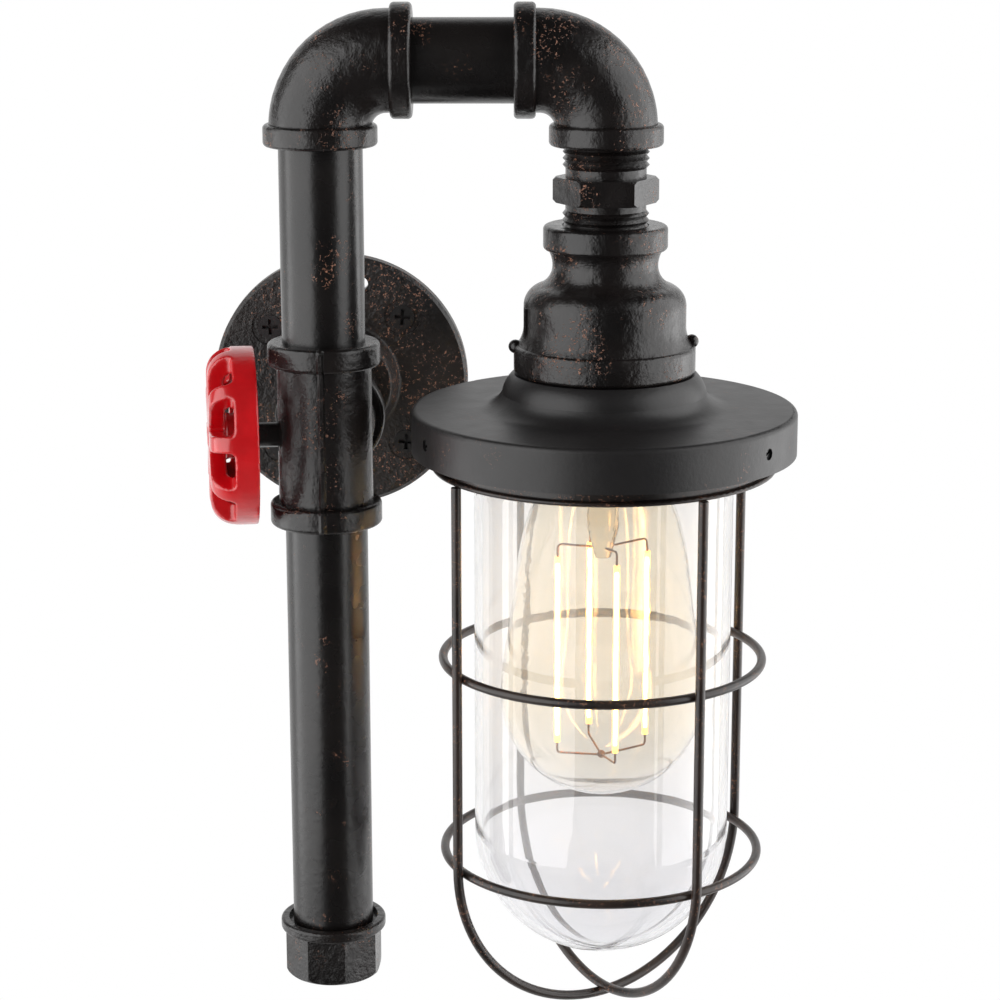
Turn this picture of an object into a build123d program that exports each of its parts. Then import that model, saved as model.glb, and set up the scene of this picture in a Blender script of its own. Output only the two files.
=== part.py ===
"""Industrial pipe wall light: a wall flange carries a run of threaded pipe that hooks over to a caged jar lamp.

Frame: X to the right, +Y into the wall, +Z up, millimetres. The origin is the centre of the
flange's back face. The pipe stands at y = -reach, and the lamp hangs lamp_offset to its right.
"""

import math
import os

from build123d import *

# Fits and clearances
fit_gap = 0.05              # radial play between pieces that stay together
seat_gap = 0.05             # play between faces that meet
running_gap = 0.05          # radial play of the turning spindle
moving_gap = 0.3            # room between pieces that move past each other
merge = 0.5                 # how far forms of one solid run into each other
through = 1.0               # how far a cut runs past the face that it opens

# Pipe run
reach = 85.6                # wall to the pipe's axis
lamp_offset = 85.6          # pipe's axis to the lamp's axis
top_rise = 113.0            # tee centre to the axis of the top tube
foot_drop = 158.6           # tee centre to the top of the end cap
tube_d = 25.4
tube_wall = 2.0
collar_wall = 4.45          # tube to the outside of a fitting's collar
collar_round = 1.3

# Wall flange and the plate behind it
flange_d = 84.9
flange_depth = 6.5
flange_skin = 2.5
flange_rim = 2.95
flange_chamfer = 1.2
hub_height = 7.5
hub_wall = 4.25
hub_flare = 2.6
hub_web = 1.5
hub_recess_wall = 3.25
hub_foot_round = 1.5
hub_top_round = 0.8
plate_thick = 2.0
plate_play = 0.5
cable_hole_d = 9.0
screw_circle_d = 60.0
screw_angles = (46.5, 142.0, 226.5, 316.0)
screw_shank_d = 4.0
screw_head_d = 8.0
screw_head_height = 2.2
screw_head_edge = 0.6
screw_proud = 0.3
screw_drive_turn = 40.0
screw_spotface_d = 12.2
spotface_depth = 0.5
cross_width = 1.1
cross_span = 5.2
cross_depth = 1.6
screw_boss_wall = 3.3
fixing_circle_d = 67.5
fixing_angles = (78.0, 258.0)
fixing_hole_d = 4.6
fixing_spotface_d = 7.4
fixing_boss_wall = 1.7

# Connections behind the nipple
block_width = 15.0
block_height = 10.0
block_length = 9.8
block_stand = 4.2
block_foot = 2.5
clamp_screw_d = 3.0
clamp_screw_length = 3.2
clamp_screw_proud = 0.8
clamp_screw_pitch = 7.0
clamp_slot = 0.6
earth_offset = 12.0
earth_shank_d = 4.0
earth_head_d = 6.6
earth_head_height = 2.0
earth_cross_depth = 0.8
lead_d = 5.0
lead_bend = 20.0

# Tee
tee_half = 28.45
tee_wall = 1.75
tee_socket = 15.0
tee_collar_height = 7.3
seam_width = 1.1
seam_proud = 0.45

# Elbows
elbow_bend = 20.0
elbow_leg_down = 5.2        # bend to the mouth that faces down
elbow_leg_side = 7.7        # bend to the mouth that faces the top tube
elbow_wall = 2.65
elbow_socket = 9.0
elbow_collar_height = 6.6

# End cap
end_ring_wall = 3.95
end_ring_height = 3.5
end_ring_round = 0.9
end_recess_wall = 1.45
end_recess_depth = 1.6
end_body_wall = 2.85
end_body_height = 15.1
end_body_sides = 8
end_body_round = 2.4
end_body_turn = 16.7
end_floor = 4.0

# Hex nipple
thread_proud = 0.35         # thread crests beyond the tube's radius
thread_depth = 0.85
thread_pitch = 1.8
hex_corner_d = 32.0
hex_height = 7.7
hex_chamfer = 0.9
thread_above = 9.3
thread_below = 6.8
neck_above = 2.7            # plain stretches beside the hexagon
neck_below = 2.2
nipple_bore_d = 19.0
upper_engage = 9.0
lower_engage = 9.5

# Bell reducer
bell_height = 45.15
bell_top_wall = 5.75
bell_top_collar_height = 7.0
bell_top_step = 1.2
bell_neck_wall = 2.9
bell_neck_drop = 12.2
bell_wall = 3.1
bell_shoulder_drop = 24.5
bell_flare_drop = 30.5
bell_flare = 2.3
bell_base_wall = 3.5
bell_base_height = 8.3
bell_base_play = 0.9
bell_base_bore_height = 6.8
bell_room_play = 2.3
bell_room_start = 9.3
bell_room_height = 19.0
bell_throat_play = 3.9
bell_throat_height = 28.5
bell_web = 2.5
bell_web_drop = 12.5
bell_bar_angle = -76.0
bell_bar_width = 2.2
bell_bar_proud = 0.5
bell_bar_height = 11.0
nub_d = 4.2
nub_proud = (1.6, 0.9)      # left and right casting nub, beyond the base collar
nub_rise = (-0.4, 1.2)      # above the base collar

# Lamp cap
cap_d = 118.2
cap_sheet = 1.5
cap_wall_height = 13.4
cap_edge_round = 1.6
cap_crown = 0.4
boss_height = 10.5
boss_margin = 0.2           # boss top beyond the bell's base collar
boss_spread = 3.4           # boss top to its waist
boss_waist_drop = 6.0
boss_bulge = 0.6
boss_sweep = 7.2            # boss waist to its foot
set_screw_angles = (-66.5, 53.5, 173.5)
set_screw_d = 3.4
set_screw_drop = 6.9
set_screw_sink = 0.8
set_screw_turn = 25.0
weld_nut_wall = 1.8
weld_nut_height = 3.0
slot_width = 0.8
slot_depth = 1.0

# Bulb
bulb_length = 143.0
bulb_room = 5.7             # widest part of the bulb to the inside of the jar
bulb_glass = 0.8
bulb_flanks = ((0.721, 0.860), (0.283, 0.523), (0.132, 0.233))  # shares of the way from neck to belly: down, out
bulb_neck_slant = 0.3
bulb_neck_foot = 0.5
bulb_neck_in = 8.0
bulb_cap_length = 27.6
bulb_cap_d = 26.2
bulb_cap_wall = 0.5
bulb_ridge = 0.15
bulb_ridge_pitch = 3.6
bulb_skirt = 21.5
bulb_lid_height = 1.6
bulb_lid_bore_d = 14.0
bulb_lid_edge = 0.6
insulator_height = 4.0
insulator_sink = 1.5
insulator_straight = 3.2
bulb_contact_d = 9.6
contact_edge = 0.6
contact_tip_d = 4.0
stem_d = 9.8
stem_tip_d = 5.0
stem_reach = 39.35          # bulb's mouth to the stem's tip
stem_taper = 9.0
stem_flare = 7.0
stem_flare_edge = 1.2
filament_d = 1.9
filament_length = 60.0
filament_circle_d = 29.0
filament_turn = 15.0
filament_rise = 0.8         # filament tops above the stem's tip
filament_count = 4
wire_d = 0.7
wire_bend = 1.2
wire_rise = 4.2
wire_start_rise = 3.4
wire_foot_drop = 3.6
bead_d = 2.6
bead_drop = 5.5

# Lamp holder
holder_wall = 5.0
holder_below = 16.3
holder_above = 17.2
holder_shoulder_wide = 4.0
holder_shoulder_height = 2.15
holder_cone = 9.4
holder_neck_wall = 4.0
shell_play = 0.2
shell_wall = 0.75
shell_length = 23.4
base_disc_height = 5.0
base_disc_drop = 1.5
tongue_d = 7.0
tongue_height = 1.5
stud_d = 10.0
stud_bore_d = 7.0
stud_length = 20.0
stud_seat = 2.2
stud_nut_flats = 14.0
stud_nut_height = 2.9
ring_nut_wide = 6.7
ring_nut_height = 4.4

# Jar, its seat and the collar that carries both
jar_d = 80.0
jar_wall = 2.5
jar_straight = 122.9
jar_rim_height = 3.0
jar_rim_play = 3.1
jar_rim_round = 1.0
collar_room = 3.0           # weld nuts to the collar
collar_sheet = 1.0
collar_height = 14.0
collar_drop = 16.8          # cap's ceiling to the collar's bead
bead_ring_d = 1.6
bead_ring_proud = 1.4
ledge_play = 2.0
gasket_thick = 1.0
gasket_margin = 0.2

# Cage
cage_wire_d = 3.0
cage_ring_wire_d = 2.8
cage_leg_proud = 1.15       # legs' axes beyond the collar
cage_foot_drop = 175.2      # collar's bead to the lowest wire's axis
cage_turn = -58.3
middle_ring_drop = 61.6
lower_ring_drop = 124.7

# Handwheel
wheel_d = 54.8
wheel_start = 21.3
wheel_band = 7.0
wheel_band_thick = 5.2
wheel_band_round = 2.2
wheel_depth = 14.5
wheel_rib_count = 10
wheel_rib_width = 5.6
wheel_rib_round = 1.7
wheel_rib_first = -12.0
wheel_rib_thick = 4.8
wheel_rib_root = 1.5
wheel_crown_bend = 7.0
wheel_band_inset = 0.3
wheel_hub_d = 14.0
wheel_hub_back = 5.0
wheel_hub_sink = 2.2
spindle_d = 7.7
spindle_drop = 0.2
spindle_turn = 8.0          # towards the room, from square to the pipe
spindle_square = 5.2
spindle_tail = 0.9
spindle_thread_d = 4.0
bush_wall = 1.25
bush_inner_face = 9.4
bush_sink = 0.3
clip_groove_d = 5.6
clip_wide = 1.8
clip_thick = 1.0
wheel_nut_flats = 6.4
wheel_nut_height = 2.4
wheel_nut_round = 1.2
wheel_nut_skin = 0.5

# Radii that follow from the sizes above
tube_r = tube_d / 2
bore_r = tube_r - tube_wall
socket_r = tube_r + fit_gap
thread_r = tube_r + thread_proud
thread_socket_r = thread_r + fit_gap
fitting_collar_r = socket_r + collar_wall
tee_r = socket_r + tee_wall
cap_r = cap_d / 2
bulb_neck_r = bulb_cap_d / 2 - bulb_cap_wall - 2 * fit_gap
shell_bore_r = bulb_cap_d / 2 + bulb_ridge + shell_play
shell_r = shell_bore_r + shell_wall
holder_room_r = shell_r + 2 * fit_gap
holder_r = holder_room_r + holder_wall
holder_shoulder_r = holder_r + holder_shoulder_wide
bell_top_r = thread_socket_r + bell_top_wall
bell_base_bore_r = holder_shoulder_r + bell_base_play
bell_base_r = bell_base_bore_r + bell_base_wall
bell_room_r = holder_r + bell_room_play
bell_r = bell_room_r + bell_wall
stud_nut_corner = stud_nut_flats / math.sqrt(3)
collar_r = cap_r - cap_sheet - weld_nut_height - collar_room
jar_r = jar_d / 2
jar_bore_r = jar_r - jar_wall
jar_rim_r = collar_r - collar_sheet - jar_rim_play
bulb_r = jar_bore_r - bulb_room
ledge_bore_r = jar_r + ledge_play
leg_r = collar_r + cage_leg_proud
spindle_r = spindle_d / 2
bush_r = spindle_r + running_gap + bush_wall

# Places that follow from the sizes above
flange_ceiling = flange_depth - flange_skin
hub_recess_top = flange_ceiling + hub_web
nipple_seat = hub_recess_top + hub_web
block_back = -plate_thick - block_stand
block_front = block_back - block_length
block_middle = (block_back + block_front) / 2
elbow_down = elbow_bend + elbow_leg_down
elbow_side = elbow_bend + elbow_leg_side
elbow_face = top_rise - elbow_down
end_ring_low = -foot_drop - end_ring_height
end_bottom = end_ring_low - end_body_height
hex_top = elbow_face - thread_above
hex_bottom = hex_top - hex_height
bell_top = hex_bottom - thread_below
bell_bottom = bell_top - bell_height
web_top = bell_top - bell_web_drop
web_bottom = web_top - bell_web
boss_top = bell_bottom - seat_gap
cap_top = boss_top - boss_height
cap_wall_top = cap_top - cap_crown
cap_ceiling = cap_top - cap_sheet
cap_rim_z = cap_wall_top - cap_wall_height
set_screw_z = cap_wall_top - set_screw_drop
bead_z = cap_ceiling - collar_drop
ledge_top = bead_z + collar_sheet
gasket_bottom = ledge_top + seat_gap
jar_rim_z = gasket_bottom + gasket_thick + seat_gap
jar_top = jar_rim_z + jar_rim_height
jar_spring = jar_top - jar_straight
holder_bottom = boss_top - holder_below
shoulder_z = boss_top + seat_gap
holder_shoulder_top = shoulder_z + holder_shoulder_height
holder_cone_foot = boss_top + holder_above
holder_top = holder_cone_foot + holder_cone
stud_bottom = holder_cone_foot + stud_seat
base_disc_top = holder_cone_foot - base_disc_drop
base_disc_bottom = base_disc_top - base_disc_height
shell_top = base_disc_bottom - seat_gap
tongue_bottom = shell_top - tongue_height
bulb_top = tongue_bottom - moving_gap
bulb_mouth = bulb_top - bulb_cap_length
bulb_belly = bulb_top - bulb_length + bulb_r
skirt_top = bulb_mouth + bulb_skirt
stem_tip = bulb_mouth - stem_reach
filament_top = stem_tip + filament_rise
filament_foot = filament_top - filament_length
leg_top = bead_z - bead_ring_d / 2 - seat_gap
low_foot = bead_z - cage_foot_drop
high_foot = low_foot + cage_wire_d + seat_gap
hub_back = wheel_start + wheel_hub_back
hub_front = wheel_start + wheel_depth - wheel_hub_sink
clip_top = bush_inner_face - moving_gap
lamp = Location((lamp_offset, -reach, 0))
pipe = Location((0, -reach, 0))


def turned(*outline):
    """Solid turned about Z from its (radius, height) corners."""
    return revolve(make_face(Polyline(*[(r, 0, z) for r, z in outline], close=True)), Axis.Z)


def turned_edges(*edges):
    """Solid turned about Z from lines and arcs in the XZ plane."""
    return revolve(make_face(Curve() + list(edges)), Axis.Z)


def ring(outer_r, inner_r, low, high):
    return turned((inner_r, low), (outer_r, low), (outer_r, high), (inner_r, high))


def rod(radius, low, high):
    return Pos(0, 0, (low + high) / 2) * Cylinder(radius, high - low)


def rims(solid, radius, *heights):
    """Circular edges about Z of one radius, at any of the heights."""
    circles = solid.edges().filter_by(GeomType.CIRCLE)
    same_radius = [edge for edge in circles if abs(edge.radius - radius) < 0.01]
    return [edge for edge in same_radius if min(abs(edge.arc_center.Z - z) for z in heights) < 0.01]


def rounded_rod(radius, low, high, rounding):
    """Cast collar: a short rod with both rims rounded."""
    blank = rod(radius, low, high)
    return fillet(rims(blank, radius, low, high), rounding)


def hexagon_nut(corner, low, height):
    return extrude(Pos(0, 0, low) * RegularPolygon(corner, 6), height)


def around(angle, radius, height=0.0):
    """Location at an angle from the front, positive towards +X, with its Z axis pointing outwards."""
    return Rot(0, 0, angle) * Pos(0, -radius, height) * Rot(90, 0, 0)


def on_wall(angle, radius):
    """Location on the wall at an angle from +X, with its Z axis pointing out of the wall."""
    a = math.radians(angle)
    return Location((radius * math.cos(a), 0, radius * math.sin(a)), (90, 0, 0))


def threaded(crest_r, root_depth, hollow_r, low, high, pitch):
    """Threaded tube, its thread as rings of equal pitch."""
    count = max(1, int((high - low) / pitch))
    step = (high - low) / count
    outline = [(hollow_r, low)]
    for turn in range(count):
        start = low + turn * step
        outline += [(crest_r - root_depth, start), (crest_r, start + step / 2)]
    outline += [(crest_r - root_depth, high), (hollow_r, high)]
    return turned(*outline)


def wire(section_d, route):
    """Round wire swept along a route."""
    return sweep(Plane(origin=route @ 0, z_dir=route % 0) * Circle(section_d / 2), path=route)


# Wall flange, plate and connections

def cross_recess(front, depth):
    """Cross-shaped drive cut, opening at the given height along the screw's axis."""
    bar = Pos(0, 0, front) * Box(cross_span, cross_width, 2 * depth)
    return bar + Rot(0, 0, 90) * bar


def flange_screw(play):
    """Countersunk screw, widened by the play."""
    head = screw_head_d / 2 + play
    shank = screw_shank_d / 2 + play
    top = flange_depth - spotface_depth + screw_proud
    return turned((0, -play), (shank, -play), (shank, top - screw_head_height), (head, top - screw_head_edge),
                  (head, top + play), (0, top + play))


def flange_boss(spot, radius, spotface_d):
    """Boss under the flange's skin at a spot, and the spot face cut over it."""
    boss = spot * rod(radius, plate_thick + seat_gap, flange_ceiling + merge)
    face = spot * rod(spotface_d / 2, flange_depth - spotface_depth, flange_depth + through)
    return boss, face


def wall_flange():
    rim_r = flange_d / 2
    hub_r = socket_r + hub_wall
    foot_r = hub_r + hub_flare
    hub_top = flange_depth + hub_height
    body = turned((0, 0), (rim_r, 0), (rim_r, flange_depth - flange_chamfer),
                  (rim_r - flange_chamfer, flange_depth), (foot_r, flange_depth), (hub_r, hub_top), (0, hub_top))
    body = fillet(rims(body, foot_r, flange_depth), hub_foot_round)
    body = fillet(rims(body, hub_r, hub_top), hub_top_round)
    body -= rod(rim_r - flange_rim, -through, flange_ceiling)
    body -= rod(socket_r + hub_recess_wall, flange_ceiling - through, hub_recess_top)
    body -= rod(bore_r, 0, hub_top)
    body -= rod(socket_r, nipple_seat, hub_top + through)
    body = Rot(90, 0, 0) * body
    for angle in screw_angles:
        spot = on_wall(angle, screw_circle_d / 2)
        boss, face = flange_boss(spot, screw_shank_d / 2 + screw_boss_wall, screw_spotface_d)
        body = body + boss - face - spot * flange_screw(fit_gap)
    for angle in fixing_angles:
        spot = on_wall(angle, fixing_circle_d / 2)
        boss, face = flange_boss(spot, fixing_hole_d / 2 + fixing_boss_wall, fixing_spotface_d)
        body = body + boss - face - spot * rod(fixing_hole_d / 2, -through, flange_depth + through)
    return body


def flange_screws():
    top = flange_depth - spotface_depth + screw_proud
    one = flange_screw(0) - cross_recess(top, cross_depth)
    return [on_wall(a, screw_circle_d / 2) * Rot(0, 0, screw_drive_turn + a) * one for a in screw_angles]


def wall_plate():
    def hole(diameter):
        return rod(diameter / 2, -through, plate_thick + through)
    body = rod(flange_d / 2 - flange_rim - plate_play, 0, plate_thick) - hole(cable_hole_d)
    body = Rot(90, 0, 0) * body
    for angle in screw_angles:
        body -= on_wall(angle, screw_circle_d / 2) * hole(screw_shank_d + 2 * fit_gap)
    for angle in fixing_angles:
        body -= on_wall(angle, fixing_circle_d / 2) * hole(fixing_hole_d)
    return body - on_wall(-90, earth_offset) * hole(earth_shank_d + 2 * fit_gap)


def earth_screw():
    head_low = plate_thick + seat_gap
    head_top = head_low + earth_head_height
    body = rod(earth_shank_d / 2, 0, head_low + merge) + rod(earth_head_d / 2, head_low, head_top)
    return on_wall(-90, earth_offset) * (body - cross_recess(head_top, earth_cross_depth))


def clamp_spots():
    """Places of the four clamp screws in the plane of the block."""
    return [(side * clamp_screw_pitch / 2, block_middle + row * block_length / 4)
            for side in (-1, 1) for row in (-1, 1)]


def terminal_block():
    body = Pos(0, block_middle, 0) * Box(block_width, block_length, block_height)
    foot_length = block_stand - seat_gap + merge
    foot_x = (block_width - block_foot) / 2
    foot_y = block_back - merge + foot_length / 2
    for side in (-1, 1):
        body += Pos(side * foot_x, foot_y, 0) * Box(block_foot, foot_length, block_height)
    well_bottom = block_height / 2 + clamp_screw_proud - clamp_screw_length - seat_gap
    for x, y in clamp_spots():
        body -= Pos(x, y, 0) * rod(clamp_screw_d / 2 + fit_gap, well_bottom, block_height)
    return body


def terminal_screws():
    top = block_height / 2 + clamp_screw_proud
    one = rod(clamp_screw_d / 2, top - clamp_screw_length, top)
    one -= Pos(0, 0, top) * Box(2 * clamp_screw_d, clamp_slot, 2 * clamp_slot)
    return [Pos(x, y, 0) * one for x, y in clamp_spots()]


def lamp_lead():
    """Sheathed lead from the terminal block through the whole pipe run to the lamp holder."""
    lead_end = base_disc_top + seat_gap
    route = FilletPolyline(
        (0, block_front - seat_gap, 0), (0, -reach, 0), (0, -reach, top_rise),
        (lamp_offset, -reach, top_rise), (lamp_offset, -reach, lead_end), radius=lead_bend)
    body = wire(lead_d, route)
    print("lead length", round(route.length, 1), "volume ratio",
          round(body.volume / (route.length * math.pi * lead_d ** 2 / 4), 4))
    return body


# Pipe run

def wall_nipple():
    near = nipple_seat + seat_gap
    far = reach - tee_half + tee_socket - seat_gap
    return Rot(90, 0, 0) * ring(tube_r, bore_r, near, far)


def mould_seam(face_r, length):
    """Raised line left by the mould, on the front of a face of the given radius."""
    thick = seam_proud + 2 * merge
    return Pos(0, -face_r - seam_proud + thick / 2, 0) * Box(seam_width, thick, length)


def along_spindle(shape):
    """Lays a shape built along Z on the spindle's axis, with the tee's centre at the origin."""
    return Pos(0, 0, -spindle_drop) * Rot(0, 0, spindle_turn) * Rot(0, -90, 0) * shape


def tee():
    inner = tee_half - tee_socket
    branch_turn = Rot(-90, 0, 0)
    end_collar = rounded_rod(fitting_collar_r, tee_half - tee_collar_height, tee_half, collar_round)
    body = rod(tee_r, -tee_half, tee_half) + branch_turn * rod(tee_r, 0, tee_half)
    body += end_collar + mirror(end_collar, Plane.XY) + branch_turn * end_collar
    body += mould_seam(tee_r, 2 * (tee_half - tee_collar_height + merge))
    for side in (-1, 1):
        middle = side * (tee_half - tee_collar_height / 2)
        body += Pos(0, 0, middle) * mould_seam(fitting_collar_r, tee_collar_height - 2 * collar_round)
    passage = rod(bore_r, -inner - through, inner + through) + branch_turn * rod(bore_r, 0, inner + through)
    socket = rod(socket_r, inner, tee_half + through)
    sockets = socket + mirror(socket, Plane.XY) + branch_turn * socket
    bush_bore = along_spindle(rod(bush_r + fit_gap, 0, 2 * tee_r))
    return pipe * (body - passage - sockets - bush_bore)


def upright_tube(low, high):
    return pipe * ring(tube_r, bore_r, low + seat_gap, high - seat_gap)


def top_tube():
    low = elbow_side - elbow_socket + seat_gap
    return Location((0, -reach, top_rise)) * Rot(0, 90, 0) * ring(tube_r, bore_r, low, lamp_offset - low)


def elbow(down_socket_r):
    """Elbow with its mouths at -Z and +X; the origin is where the two axes cross."""
    down = Line((0, 0, -elbow_down), (0, 0, -elbow_bend))
    turn = TangentArc((0, 0, -elbow_bend), (elbow_bend, 0, 0), tangent=(0, 0, 1))
    route = Wire([down, turn, Line((elbow_bend, 0, 0), (elbow_side, 0, 0))])

    def passage(radius):
        return sweep(Pos(0, 0, -elbow_down) * Circle(radius), path=route)

    body = passage(socket_r + elbow_wall)
    body += rounded_rod(fitting_collar_r, -elbow_down, -elbow_down + elbow_collar_height, collar_round)
    body += Rot(0, 90, 0) * rounded_rod(fitting_collar_r, elbow_side - elbow_collar_height, elbow_side, collar_round)
    body -= passage(bore_r)
    body -= rod(down_socket_r, -elbow_down - through, -elbow_down + elbow_socket)
    return body - Rot(0, 90, 0) * rod(socket_r, elbow_side - elbow_socket, elbow_side + through)


def left_elbow():
    return Location((0, -reach, top_rise)) * elbow(socket_r)


def right_elbow():
    return Location((lamp_offset, -reach, top_rise)) * mirror(elbow(thread_socket_r), Plane.YZ)


def end_cap():
    corner = socket_r + end_body_wall
    outline = Pos(0, 0, end_bottom) * Rot(0, 0, end_body_turn - 90) * RegularPolygon(corner, end_body_sides)
    trim = rod(corner, end_bottom, end_ring_low)
    trim = fillet(rims(trim, corner, end_bottom), end_body_round)
    body = extrude(outline, end_body_height) & trim
    body += rounded_rod(socket_r + end_ring_wall, end_ring_low, -foot_drop, end_ring_round)
    body -= rod(socket_r + end_recess_wall, -foot_drop - end_recess_depth, -foot_drop + through)
    return pipe * (body - rod(socket_r, end_bottom + end_floor, -foot_drop))


def hex_nipple():
    corner = hex_corner_d / 2
    trim = rod(corner, hex_bottom, hex_top)
    trim = chamfer(rims(trim, corner, hex_bottom, hex_top), hex_chamfer)
    hollow_r = nipple_bore_d / 2
    nut = (hexagon_nut(corner, hex_bottom, hex_height) & trim) - rod(hollow_r, hex_bottom, hex_top)
    root_r = thread_r - thread_depth
    upper_start = hex_top + neck_above
    upper_end = elbow_face + upper_engage - seat_gap
    lower_start = hex_bottom - neck_below
    lower_end = bell_top - lower_engage + seat_gap
    upper = threaded(thread_r, thread_depth, hollow_r, upper_start, upper_end, thread_pitch)
    lower = threaded(thread_r, thread_depth, hollow_r, lower_end, lower_start, thread_pitch)
    necks = ring(root_r, hollow_r, hex_top, upper_start) + ring(root_r, hollow_r, lower_start, hex_bottom)
    return lamp * (nut + necks + upper + lower)


def bell_form():
    """Outer form of the bell reducer between its two collars."""
    flare_low = bell_bottom + bell_base_height
    throat = (bell_top_r - bell_top_step, 0, bell_top - bell_top_collar_height)
    neck = (thread_socket_r + bell_neck_wall, 0, bell_top - bell_neck_drop)
    shoulder = (bell_r, 0, bell_top - bell_shoulder_drop)
    halfway = tuple((a + b) / 2 for a, b in zip(neck, shoulder))
    flare_top = (bell_r, 0, bell_top - bell_flare_drop)
    flare_foot = (bell_r + bell_flare, 0, flare_low)
    axis_low = (0, 0, flare_low)
    axis_high = (0, 0, throat[2])
    return turned_edges(
        TangentArc(neck, throat, tangent=(0, 0, 1)), TangentArc(neck, halfway, tangent=(0, 0, -1)),
        TangentArc(shoulder, halfway, tangent=(0, 0, 1)), Line(shoulder, flare_top),
        TangentArc(flare_top, flare_foot, tangent=(0, 0, -1)), Line(flare_foot, axis_low),
        Line(axis_low, axis_high), Line(axis_high, throat))


def bell_reducer():
    flare_low = bell_bottom + bell_base_height
    throat_r = stud_nut_corner + bell_throat_play
    body = bell_form()
    body += rounded_rod(bell_top_r, bell_top - bell_top_collar_height - merge, bell_top, collar_round)
    body += rounded_rod(bell_base_r, bell_bottom, flare_low + merge, collar_round)
    bar_middle = bell_top - bell_shoulder_drop - bell_bar_height / 2
    bar_thick = bell_bar_proud + bell_flare
    bar = Box(bell_bar_width, bell_bar_height, bar_thick)
    body += around(bell_bar_angle, bell_r + bell_bar_proud - bar_thick / 2, bar_middle) * bar
    for side, proud, rise in zip((-1, 1), nub_proud, nub_rise):
        body += Pos(side * (bell_base_r + proud - nub_d / 2), 0, flare_low + rise) * Sphere(nub_d / 2)
    body -= turned((0, bell_bottom - through), (bell_base_bore_r, bell_bottom - through),
                   (bell_base_bore_r, bell_bottom + bell_base_bore_height),
                   (bell_room_r, bell_bottom + bell_room_start), (bell_room_r, bell_bottom + bell_room_height),
                   (throat_r, bell_bottom + bell_throat_height), (throat_r, web_bottom), (0, web_bottom))
    body -= rod(throat_r, web_top, bell_top)
    body -= rod(thread_socket_r, bell_top - lower_engage, bell_top + through)
    return lamp * (body - rod(stud_d / 2 + fit_gap, web_bottom - through, web_top + through))


# Lamp cap and holder

def cap_form(inset):
    """Solid form of the cap, drawn in from its outside by the inset; slanted stretches step in by a share of it."""
    slant = 0.6 * inset
    top = (bell_base_r + boss_margin - slant, 0, boss_top - inset)
    waist = (bell_base_r + boss_margin + boss_spread - inset, 0, boss_top - boss_waist_drop - slant / 2)
    foot = (bell_base_r + boss_margin + boss_spread + boss_sweep - slant, 0, cap_top - inset)
    bulge = ((top[0] + waist[0]) / 2 + boss_bulge, 0, (top[2] + waist[2]) / 2 + 0.4 * boss_bulge)
    least_round = 0.2
    rounding = max(cap_edge_round - inset, least_round)
    side_r = cap_r - inset
    edge = (side_r - rounding, 0, cap_wall_top - inset)
    side = (side_r, 0, cap_wall_top - inset - rounding)
    mouth = (side_r, 0, cap_rim_z)
    return turned_edges(
        Line((0, 0, top[2]), top), ThreePointArc(top, bulge, waist), TangentArc(foot, waist, tangent=(-1, 0, 0)),
        Line(foot, edge), TangentArc(edge, side, tangent=(1, 0, 0)), Line(side, mouth),
        Line(mouth, (0, 0, cap_rim_z)), Line((0, 0, cap_rim_z), (0, 0, top[2])))


def lamp_cap():
    inner_r = cap_r - cap_sheet
    hole_r = set_screw_d / 2 + fit_gap
    body = cap_form(0) - cap_form(cap_sheet)
    body -= rod(holder_r + fit_gap, cap_rim_z, boss_top + through)
    for angle in set_screw_angles:
        axis = around(angle, 0, set_screw_z)
        body += axis * rod(hole_r + weld_nut_wall, inner_r - weld_nut_height, inner_r + merge)
        body -= axis * rod(hole_r, inner_r - weld_nut_height - through, cap_r + through)
    return lamp * body


def cap_screws():
    head = cap_r - set_screw_sink
    one = rod(set_screw_d / 2, collar_r + seat_gap, head)
    one -= Pos(0, 0, head) * Box(2 * set_screw_d, slot_width, 2 * slot_depth)
    return [lamp * around(a, 0, set_screw_z) * Rot(0, 0, set_screw_turn) * one for a in set_screw_angles]


def lamp_holder():
    stud_hole_r = stud_d / 2 + fit_gap
    return lamp * turned(
        (holder_room_r, holder_bottom), (holder_r, holder_bottom), (holder_r, shoulder_z),
        (holder_shoulder_r, shoulder_z), (holder_shoulder_r, holder_shoulder_top),
        (holder_r, holder_shoulder_top), (holder_r, holder_cone_foot),
        (stud_hole_r + holder_neck_wall, holder_top), (stud_hole_r, holder_top), (stud_hole_r, stud_bottom),
        (holder_room_r, base_disc_top))


def holder_base():
    return lamp * rod(holder_room_r - fit_gap, base_disc_bottom, base_disc_top)


def holder_shell():
    return lamp * ring(shell_r, shell_bore_r, shell_top - shell_length, shell_top)


def holder_contact():
    return lamp * rod(tongue_d / 2, tongue_bottom, shell_top)


def holder_stud():
    return lamp * ring(stud_d / 2, stud_bore_d / 2, stud_bottom, stud_bottom + stud_length)


def stud_nuts():
    """Two hexagon nuts that clamp the stud to the bell's web."""
    lows = (web_top + seat_gap, web_bottom - seat_gap - stud_nut_height)
    hole = rod(stud_d / 2 + fit_gap, min(lows) - through, max(lows) + stud_nut_height + through)
    return [lamp * (hexagon_nut(stud_nut_corner, low, stud_nut_height) - hole) for low in lows]


def holder_ring():
    top = boss_top - cap_sheet - seat_gap
    return lamp * ring(holder_r + ring_nut_wide, holder_r + fit_gap, top - ring_nut_height, top)


# Bulb

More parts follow.
